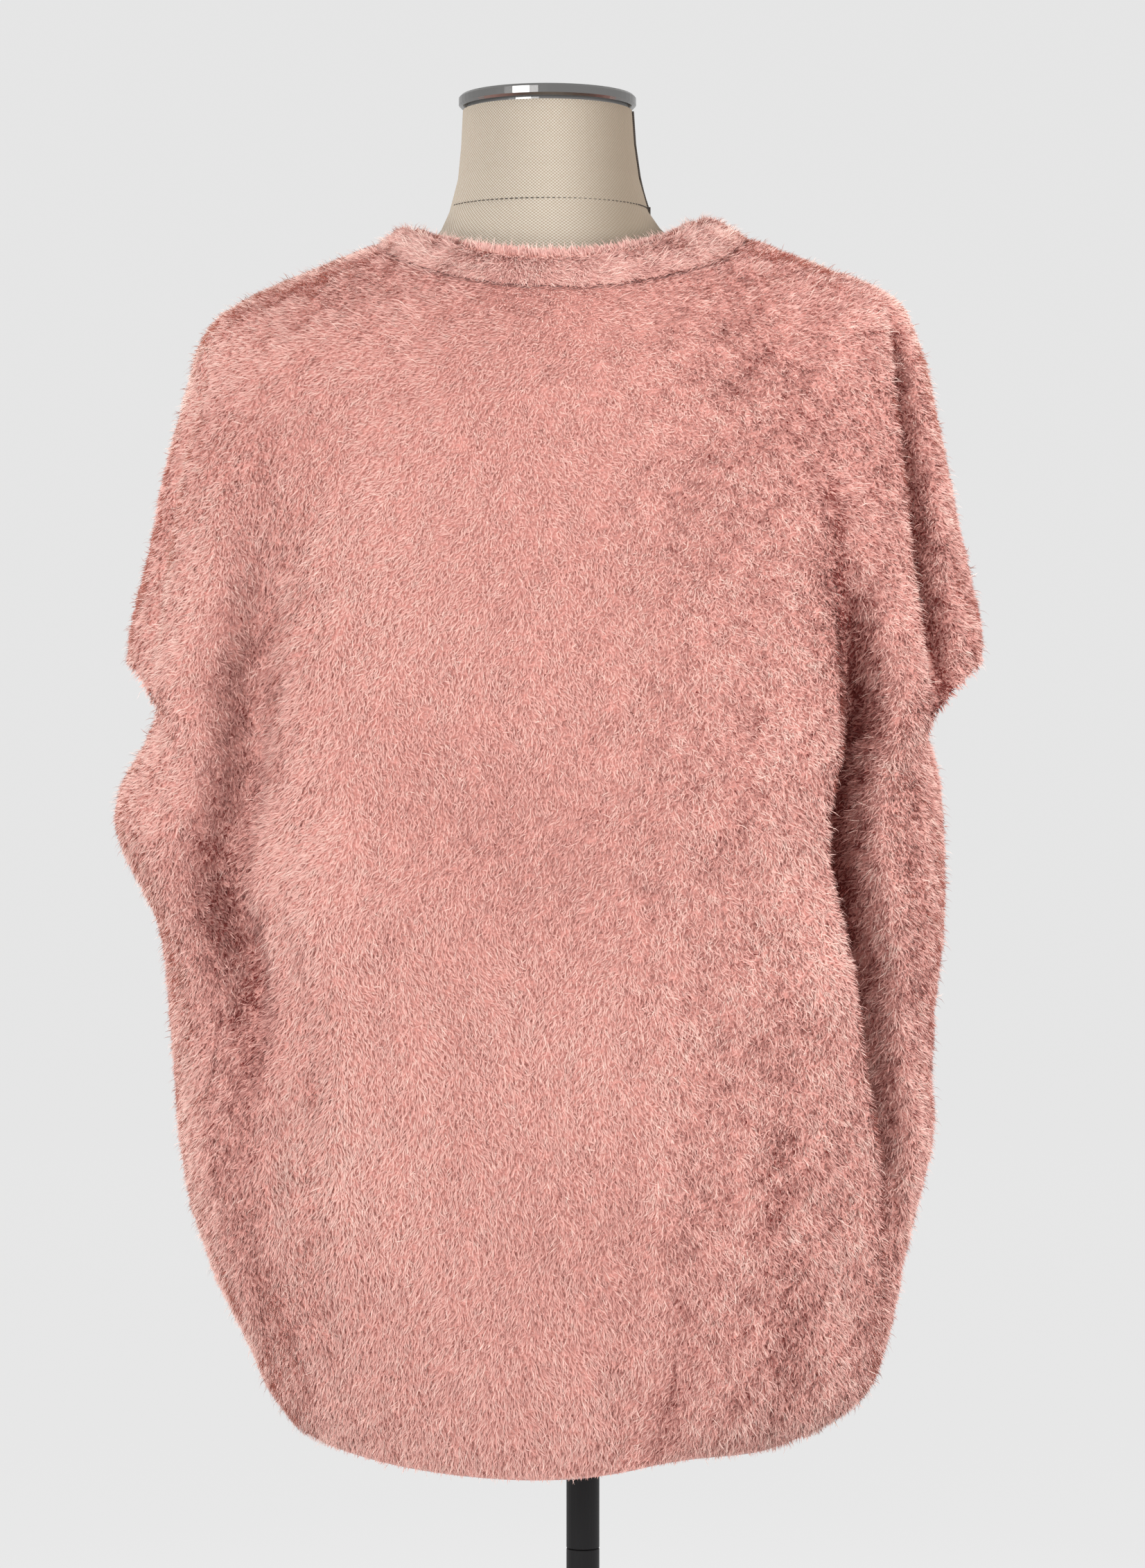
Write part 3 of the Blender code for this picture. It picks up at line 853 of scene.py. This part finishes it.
def right_share(points):
    """From 0 at the left to 1 at the right, where the pile stands up more; less at the front."""
    share = np.clip((points[:, 0] - RIGHT_FROM) / RIGHT_REACH, 0, 1)
    at_back = np.clip(0.7 - 6 * points[:, 1], 0.35, 1)
    return share * share * (3 - 2 * share) * at_back


def pile_ways(places, rng, settings):
    """(way of each strand, its side, its length, the height of its tip) over the cloth."""
    centre, count = places.points, len(places.points)
    across = unit(np.cross(places.normals, places.down))
    left_edge = np.clip((LEFT_FROM - centre[:, 0]) / LEFT_REACH, 0, LEFT_MOST)
    raised = np.maximum(right_share(centre), left_edge)
    wild = 0.8 + 0.5 * raised
    lean = np.radians(PATCH_LEAN) * layered(centre, LEANS)
    lean = lean + np.radians(STRAND_LEAN) * wild * rng.normal(size=count)
    way = places.down * np.cos(lean)[:, None] + across * np.sin(lean)[:, None]
    # At the neck edge the pile stands up instead
    upward = np.where(places.row < UPWARD_ROW, -1.0, 1.0)
    way = way * upward[:, None]
    length = settings.pile_length * np.clip(rng.normal(1.0, 0.2, count), 0.5, 1.5)
    length = length * np.clip((HEM_ROW - places.row) / 0.4, 0.45, 1)
    patches = PATCH_HEIGHT + RAISED_HEIGHT * raised
    patches = patches * np.clip((places.row - 1) / 5, 0.4, 1)
    height = TIP_HEIGHT + patches * layered(centre, TUFTS)
    height = height + rng.normal(0, STRAND_HEIGHT, count) * (1 + 1.5 * raised)
    return way, unit(np.cross(way, places.normals)), length, np.clip(height, -0.003, 0.004)


def paleness(places, height, rng):
    """Where each strand's colour lies on its map: 0 the painted shade deep in a fold, 0.5 the tip
    colour, 1 pale. Painted light also pales the left side, lit ridges and raised tips.
    """
    centre = places.points
    on_left = np.clip((-0.05 - centre[:, 0]) / 0.15, 0, 1)
    rough = 0.3 + 0.8 * np.maximum(places.shade, 0) + 0.8 * right_share(centre)
    rough = np.clip(rough, 0, 1.4)
    # Paler at the left: painted light from the lamps on that side
    region = PALE_USUAL + PALE_WIDE * soft_noise(centre, 6.0, 21, 10) + PAINTED_LEFT_LIGHT * on_left
    region = region + (PALE_CLUMPS * layered(centre, CLUMPS) - 0.04) * rough
    spread = rng.normal(0, 0.08, len(centre)) * (1 + rough)
    # Painted highlight on raised tips, with the painted shade and light of the folds
    pale = region + height * PAINTED_TIP_HIGHLIGHT + spread - 0.5 * places.shade
    return np.clip(pale, PALE_LEAST, PALE_MOST)


def spikes(grid, settings, rng, count, rows, turns):
    """The short pile that covers the knit."""
    places = sample_places(grid, rng, count, rows, turns)
    normal = places.normals
    way, side, length, height = pile_ways(places, rng, settings)
    roll = rng.normal(0, 0.35, count)[:, None]
    side = unit(side * np.cos(roll) + normal * np.sin(roll))
    half = side * (settings.spike_width / 2 * rng.uniform(0.7, 1.3, count))[:, None]
    root = places.points - normal * (settings.pile_depth * SPIKE_ROOT)
    tip = places.points + way * length[:, None] + normal * height[:, None]
    points = np.stack([root - half, root + half, tip], axis=1)
    pale = paleness(places, height, rng)
    u = pale[:, None] + 0.006 * np.array([[-1.0, 1.0, 0.0]])
    v = np.broadcast_to(np.array([[0.04, 0.04, 0.98]]), u.shape)
    shade = unit(normal + rng.normal(0, 0.16, (count, 3)))
    normals = np.repeat(shade[:, None, :], 3, axis=1)
    return Strands(points, SPIKE_FACES, np.stack([u, v], axis=-1), normals)


def hairs(grid, settings, rng, count, rows, turns):
    """Fine longer hairs over the short pile, some of them standing out."""
    places = sample_places(grid, rng, count, rows, turns)
    normal = places.normals
    way, side, length, height = pile_ways(places, rng, settings)
    spin = rng.normal(0, 0.35, count)[:, None]
    way = unit(way * np.cos(spin) + side * np.sin(spin))
    side = unit(np.cross(way, normal))
    out = height + HAIR_OUT + HAIR_MORE_OUT * rng.uniform(size=count) ** 2
    half = side * (settings.hair_width / 2 * rng.uniform(0.7, 1.2, count))[:, None]
    root = places.points - normal * (settings.pile_depth * HAIR_ROOT)
    middle = places.points + way * (0.6 * length)[:, None] + normal * (out * 0.55)[:, None]
    tip = places.points + way * (HAIR_REACH * length)[:, None] + normal * out[:, None]
    points = np.stack([root - half, root + half, middle - half, middle + half, tip], axis=1)
    # Hairs that stand out are paler: painted light for the glow of fine fibres at the edges
    pale = paleness(places, height, rng) + 90 * (out - height)
    pale = np.clip(pale, PALE_LEAST, PALE_MOST)
    u = pale[:, None] + 0.006 * np.array([[-1.0, 1.0, -1.0, 1.0, 0.0]])
    v = np.broadcast_to(np.array([[0.2, 0.2, 0.6, 0.6, 0.98]]), u.shape)
    shade = unit(normal + rng.normal(0, 0.18, (count, 3)))
    normals = np.repeat(shade[:, None, :], 5, axis=1)
    return Strands(points, HAIR_FACES, np.stack([u, v], axis=-1), normals)


def pile_piece(grid, settings, name, counts, rows, turns, seed, material):
    """The pile of one stretch of cloth."""
    rng = np.random.default_rng(seed)
    spike_count, hair_count = counts
    groups = [
        spikes(grid, settings, rng, spike_count, rows, turns),
        hairs(grid, settings, rng, hair_count, rows, turns),
    ]
    return strand_mesh(name, groups, material)


def finish_piece(piece, material=None):
    """Says what a piece rides on and whose finish it has."""
    if material is not None:
        piece.data.materials.clear()
        piece.data.materials.append(material)
    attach(piece, BODY)
    return piece


KNIT_PIECES = [
    # name, node, slot, first and last row, first and last turn, face steps
    ("back_knit", "back_panel", "wool_back", 2.0, 26.83, 180.0, 360.0, (3, 2)),
    ("front_knit", "front_panel", "wool_front", 2.0, 26.83, 360.0, 540.0, (3, 2)),
    ("neckband_knit", "neckband", "wool_neckband", 0.0, 2.0, 180.0, 540.0, (3, 4)),
]
PILE_PIECES = {
    # knit: name, (spikes, hairs), rows, turns, seed
    "back_knit": [
        ("back_pile_left", (150000, 11000), (2.0, 26.75), (180.0, 270.0), 101),
        ("back_pile_right", (150000, 11000), (2.0, 26.75), (270.0, 360.0), 102),
    ],
    "front_knit": [
        ("front_pile_right", (150000, 11000), (2.0, 26.75), (360.0, 450.0), 103),
        ("front_pile_left", (150000, 11000), (2.0, 26.75), (450.0, 540.0), 104),
    ],
    "neckband_knit": [
        ("neckband_pile", (60000, 7000), (0.08, 2.0), (180.0, 540.0), 105),
    ],
}


class PULLOVER_OT_cloth(bpy.types.Operator):
    """Make the knitted panels and neckband, and the pile that stands out of them"""

    bl_idname = "pullover.cloth"
    bl_label = "Knit and pile"

    def execute(self, context):
        settings = context.scene.pullover_cloth
        grid = cloth_grid()
        knit = knit_material(settings)
        pile = pile_material(settings)
        for name, node, slot_name, row0, row1, turn0, turn1, steps in KNIT_PIECES:
            shell, flat, area = knit_shell(grid, settings, name, row0, row1, turn0, turn1, steps)
            finish_piece(shell, knit)
            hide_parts(node)
            for pile_name, count, rows, turns, seed in PILE_PIECES[name]:
                piece = pile_piece(grid, settings, pile_name, count, rows, turns, seed, pile)
                finish_piece(piece)
        return {"FINISHED"}


# The neck of the form: height, then how far it reaches to the right and to the back
NECK_PROFILE = [
    (1.5870, 0.0306, 0.0521),
    (1.5660, 0.0320, 0.0530),
    (1.5450, 0.0350, 0.0550),
    (1.5340, 0.0377, 0.0567),
    (1.5250, 0.0407, 0.0587),
]
TRIM_SIDES = 8
# The piping runs down the right of the neck, from the cap to the seam at the neck's base
PIPING_TURN = 356.0
PIPING_TOP = 1.5868
BASE_SEAM_Z = 1.5262
PIPING_STEPS = 12
# The seam's turns: a cord near the tab, and stitches from there to the left
SEAM_TURNS = range(334, 357, 2)
STITCH_TURNS = range(204, 334, 3)
STITCH_LENGTH = 1.6
TAB_SIZE = (0.0016, 0.0040, 0.0046)
TAB_HEIGHT = 1.5248
TAB_TURN = 355.0


def neck_place(height, turn, stand_off):
    """A place on the form's neck, stood off its face by this much."""
    heights, rights, backs = zip(*sorted(NECK_PROFILE))
    right = float(np.interp(height, heights, rights)) - FORM_CENTRE_X + stand_off
    back = float(np.interp(height, heights, backs)) + stand_off
    across, along = math.cos(math.radians(turn)), math.sin(math.radians(turn))
    return Vector((FORM_CENTRE_X + right * across, back * along, height))


def cord(bm, path, radius):
    """A round cord along the path, closed at both ends."""
    last = len(path) - 1
    loops = []
    for index, place in enumerate(path):
        ahead = (path[min(index + 1, last)] - path[max(index - 1, 0)]).normalized()
        first = ahead.orthogonal().normalized()
        facing = Matrix((first, ahead.cross(first), ahead)).transposed().to_4x4()
        ring = bmesh.ops.create_circle(
            bm,
            cap_ends=index in (0, last),
            radius=radius,
            segments=TRIM_SIDES,
            matrix=Matrix.Translation(place) @ facing,
        )
        loops.append(list(dict.fromkeys(e for vert in ring["verts"] for e in vert.link_edges)))
    for low, high in zip(loops, loops[1:]):
        bmesh.ops.bridge_loops(bm, edges=low + high)


def neck_trim(settings):
    """The dark piping at the right of the neck, its tab, and the stitches at the neck's base."""
    bm = bmesh.new()
    radius = settings.piping_radius
    drop = PIPING_TOP - BASE_SEAM_Z
    heights = [PIPING_TOP - drop * step / PIPING_STEPS for step in range(PIPING_STEPS + 1)]
    cord(bm, [neck_place(height, PIPING_TURN, 0.3 * radius) for height in heights], radius)
    seam = [neck_place(BASE_SEAM_Z, turn, 0.1 * radius) for turn in SEAM_TURNS]
    cord(bm, seam, 0.5 * radius)
    tab = bmesh.ops.create_cube(bm, size=1.0)["verts"]
    bmesh.ops.scale(bm, vec=TAB_SIZE, verts=tab)
    bmesh.ops.translate(bm, vec=neck_place(TAB_HEIGHT, TAB_TURN, 0.0006), verts=tab)
    for turn in STITCH_TURNS:
        ends = [neck_place(BASE_SEAM_Z, turn + more, 0.5 * radius) for more in (0.0, STITCH_LENGTH)]
        cord(bm, ends, 0.33 * radius)
    bmesh.ops.recalc_face_normals(bm, faces=bm.faces)
    mesh = bpy.data.meshes.new("neck_trim")
    bm.to_mesh(mesh)
    bm.free()
    dark, tree, shader = plain_material("dark piping")
    inputs = {"Scale": 260.0, "Vector": new_node(tree, "ShaderNodeTexCoord").outputs["Object"]}
    twist = new_node(tree, "ShaderNodeTexWave", inputs, wave_type="BANDS", bands_direction="Z")
    cotton = mixed(tree, twist.outputs["Fac"], (0.030, 0.024, 0.020), (0.075, 0.062, 0.052))
    fill(tree, shader, {"Base Color": cotton, "Roughness": 0.8})
    finish_piece(link_object("neck_trim", mesh), dark)


class PULLOVER_OT_form(bpy.types.Operator):
    """Give the dress form its canvas cover and the trim of its neck"""

    bl_idname = "pullover.form"
    bl_label = "Linen form"

    def execute(self, context):
        settings = context.scene.pullover_form
        made, tree, shader = plain_material("linen cover")
        place = new_node(tree, "ShaderNodeTexCoord").outputs["Object"]
        inputs = {
            "Threads round": settings.threads_round,
            "Thread height": settings.thread_height,
            "Vector": place,
        }
        threads = new_node(tree, "ShaderNodeGroup", inputs, node_tree=linen_group())
        weave, flecks = threads.outputs["Weave"], threads.outputs["Flecks"]
        soft = new_node(tree, "ShaderNodeTexNoise", {"Scale": 14.0, "Vector": place})
        dark = [0.84 * value for value in settings.linen_colour]
        base = mixed(tree, soft.outputs["Fac"], dark, settings.linen_colour)
        inputs = {"From Min": 0.25, "From Max": 0.7, "Value": weave}
        dots = new_node(tree, "ShaderNodeMapRange", inputs, interpolation_type="SMOOTHSTEP")
        woven = mixed(tree, dots.outputs[0], settings.gap_colour, base)
        less = new_node(tree, "ShaderNodeMath", {0: flecks, 1: 0.45}, operation="MULTIPLY")
        flecked = mixed(tree, less.outputs[0], woven, settings.fleck_colour)
        # The cover is darker and browner towards its right side: partly painted shade on the side
        # away from the lamps, partly its own brownish soil
        split = new_node(tree, "ShaderNodeSeparateXYZ", {"Vector": place})
        inputs = {
            "From Min": FORM_CENTRE_X,
            "From Max": FORM_CENTRE_X + 0.052,
            "To Max": 0.85,
            "Value": split.outputs["X"],
        }
        soil_and_painted_shade = new_node(tree, "ShaderNodeMapRange", inputs, interpolation_type="SMOOTHSTEP")
        # The darkest colour there is painted shade as well as brown soil
        deep = [0.65 * value for value in settings.gap_colour]
        raised = {"Strength": 0.5, "Distance": 0.0004, "Height": weave}
        finish = {
            "Base Color": mixed(tree, soil_and_painted_shade.outputs[0], flecked, deep),
            "Normal": new_node(tree, "ShaderNodeBump", raised).outputs[0],
            "Roughness": 0.85,
            "Specular IOR Level": 0.25,
        }
        fill(tree, shader, finish)
        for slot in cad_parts["dress_form"].material_slots:
            slot.material = made
        neck_trim(settings)
        return {"FINISHED"}


class PULLOVER_OT_stand(bpy.types.Operator):
    """Give the neck cap its chrome, and the pole and base their black paint"""

    bl_idname = "pullover.stand"
    bl_label = "Cap, pole and base"

    def execute(self, context):
        settings = context.scene.pullover_stand
        chrome, tree, shader = plain_material("polished chrome")
        place = new_node(tree, "ShaderNodeTexCoord").outputs["Object"]
        smudge = new_node(tree, "ShaderNodeTexNoise", {"Scale": 40.0, "Vector": place})
        inputs = {"To Min": 0.12, "To Max": 0.3, "Value": smudge.outputs["Fac"]}
        finish = {
            "Base Color": (*settings.chrome_colour, 1.0),
            "Metallic": 1.0,
            "Roughness": new_node(tree, "ShaderNodeMapRange", inputs).outputs[0],
        }
        fill(tree, shader, finish)
        black, tree, shader = plain_material("black satin paint")
        place = new_node(tree, "ShaderNodeTexCoord").outputs["Object"]
        grain = new_node(tree, "ShaderNodeTexNoise", {"Scale": 900.0, "Vector": place})
        raised = {"Strength": 0.15, "Distance": 0.0002, "Height": grain.outputs["Fac"]}
        inputs = {"To Min": 0.45, "To Max": 0.58, "Value": grain.outputs["Fac"]}
        finish = {
            "Base Color": (*settings.black_colour, 1.0),
            "Specular IOR Level": 0.3,
            "Roughness": new_node(tree, "ShaderNodeMapRange", inputs).outputs[0],
            "Normal": new_node(tree, "ShaderNodeBump", raised).outputs[0],
        }
        fill(tree, shader, finish)
        for node in ("pole_upper", "pole_lower", "stand_base"):
            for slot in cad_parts[node].material_slots:
                slot.material = black
        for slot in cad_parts["neck_cap"].material_slots:
            slot.material = chrome
        return {"FINISHED"}


class PULLOVER_OT_studio(bpy.types.Operator):
    """Make the pale floor and backdrop, the soft lights and the camera"""

    bl_idname = "pullover.studio"
    bl_label = "Studio"

    def execute(self, context):
        settings = context.scene.pullover_studio
        bm = bmesh.new()
        profile = [(0.0, 0.0), (FLOOR_RADIUS, 0.0)]
        for step in range(1, 9):
            angle = math.pi / 2 * step / 8
            radius = FLOOR_RADIUS + SWEEP_CURVE * math.sin(angle)
            profile.append((radius, SWEEP_CURVE * (1 - math.cos(angle))))
        profile.append((FLOOR_RADIUS + SWEEP_CURVE, SWEEP_TOP))
        verts = [bm.verts.new((radius, 0.0, z)) for radius, z in profile]
        edges = [bm.edges.new(pair) for pair in zip(verts, verts[1:])]
        bmesh.ops.spin(
            bm,
            geom=verts + edges,
            axis=(0, 0, 1),
            cent=(0, 0, 0),
            angle=2 * math.pi,
            steps=64,
            use_merge=True,
        )
        bmesh.ops.remove_doubles(bm, verts=bm.verts, dist=0.0001)
        bmesh.ops.recalc_face_normals(bm, faces=bm.faces)
        bmesh.ops.reverse_faces(bm, faces=bm.faces)
        mesh = bpy.data.meshes.new("studio_sweep")
        bm.to_mesh(mesh)
        bm.free()
        mesh.shade_smooth()
        sweep = link_object("studio_sweep", mesh)
        paper, tree, shader = plain_material("pale paper")
        lit = [PAPER_SHARE * value for value in settings.paper_colour]
        finish = {
            "Base Color": (*lit, 1.0),
            "Emission Color": (*settings.paper_colour, 1.0),
            "Emission Strength": settings.paper_glow,
            "Roughness": 0.95,
            "Specular IOR Level": 0.1,
        }
        fill(tree, shader, finish)
        mesh.materials.append(paper)
        sweep.visible_diffuse = False
        sweep.visible_glossy = False

        lights = [
            # name, place, aim, size, power
            ("key", (-1.7, -2.7, 2.3), (0.0, 0.0, 1.15), 1.6, settings.key_power),
            ("fill", (2.8, -1.8, 1.3), (0.0, 0.0, 1.15), 1.6, settings.fill_power),
            ("front left", (-2.0, 2.3, 2.0), (0.0, 0.0, 1.15), 1.6, settings.front_power),
            ("front right", (2.0, 2.3, 2.0), (0.0, 0.0, 1.15), 1.6, settings.front_power),
            ("low", (-2.2, -1.7, 0.4), (0.0, 0.0, 0.85), 1.4, settings.low_power),
            ("top", (0.1, -0.5, 3.4), (0.0, 0.0, 1.4), 1.6, settings.top_power),
        ]
        for name, place, aim, size, power in lights:
            lamp = bpy.data.lights.new(name, "AREA")
            lamp.shape = "DISK"
            lamp.size = size
            lamp.energy = power
            obj = bpy.data.objects.new(name, lamp)
            obj.location = place
            way = Vector(aim) - Vector(place)
            obj.rotation_euler = way.to_track_quat("-Z", "Y").to_euler()
            obj.visible_camera = False
            obj.visible_glossy = name == "key"
            context.scene.collection.objects.link(obj)

        world = context.scene.world or bpy.data.worlds.new("studio")
        context.scene.world = world
        world.use_nodes = True
        sky = world.node_tree.nodes["Background"]
        light = {"Color": (1.0, 1.0, 1.0, 1.0), "Strength": settings.sky_strength}
        fill(world.node_tree, sky, light)

        lens = bpy.data.cameras.new("camera")
        lens.sensor_fit = "AUTO"
        lens.sensor_width = SENSOR_WIDTH
        lens.lens = SENSOR_WIDTH * -CAMERA_PLACE[1] / (PHOTO_HEIGHT * PIXEL_SIZE)
        camera = bpy.data.objects.new("camera", lens)
        camera.location = CAMERA_PLACE
        camera.rotation_euler = (math.pi / 2, 0.0, 0.0)
        context.scene.collection.objects.link(camera)
        context.scene.camera = camera
        context.scene.view_settings.view_transform = "Standard"
        return {"FINISHED"}


class PULLOVER_PT_panel(bpy.types.Panel):
    bl_label = "Pullover"
    bl_idname = "PULLOVER_PT_panel"
    bl_space_type = "VIEW_3D"
    bl_region_type = "UI"
    bl_category = "Pullover"

    def draw(self, context):
        for title, group, operator in (
            ("Knit and pile", "pullover_cloth", "pullover.cloth"),
            ("Dress form", "pullover_form", "pullover.form"),
            ("Stand", "pullover_stand", "pullover.stand"),
            ("Studio", "pullover_studio", "pullover.studio"),
        ):
            box = self.layout.box()
            box.label(text=title)
            settings = getattr(context.scene, group)
            for name in settings.__annotations__:
                box.prop(settings, name)
            box.operator(operator)


CLASSES = (
    PulloverCloth,
    PulloverForm,
    PulloverStand,
    PulloverStudio,
    PULLOVER_OT_cloth,
    PULLOVER_OT_form,
    PULLOVER_OT_stand,
    PULLOVER_OT_studio,
    PULLOVER_PT_panel,
)


def register():
    for made in CLASSES:
        bpy.utils.register_class(made)
    bpy.types.Scene.pullover_cloth = PointerProperty(type=PulloverCloth)
    bpy.types.Scene.pullover_form = PointerProperty(type=PulloverForm)
    bpy.types.Scene.pullover_stand = PointerProperty(type=PulloverStand)
    bpy.types.Scene.pullover_studio = PointerProperty(type=PulloverStudio)


def unregister():
    del bpy.types.Scene.pullover_studio
    del bpy.types.Scene.pullover_stand
    del bpy.types.Scene.pullover_form
    del bpy.types.Scene.pullover_cloth
    for made in reversed(CLASSES):
        bpy.utils.unregister_class(made)


def main():
    register()
    bpy.ops.pullover.cloth()
    bpy.ops.pullover.form()
    bpy.ops.pullover.stand()
    bpy.ops.pullover.studio()
    bpy.context.view_layer.update()


if __name__ == "__main__":
    main()
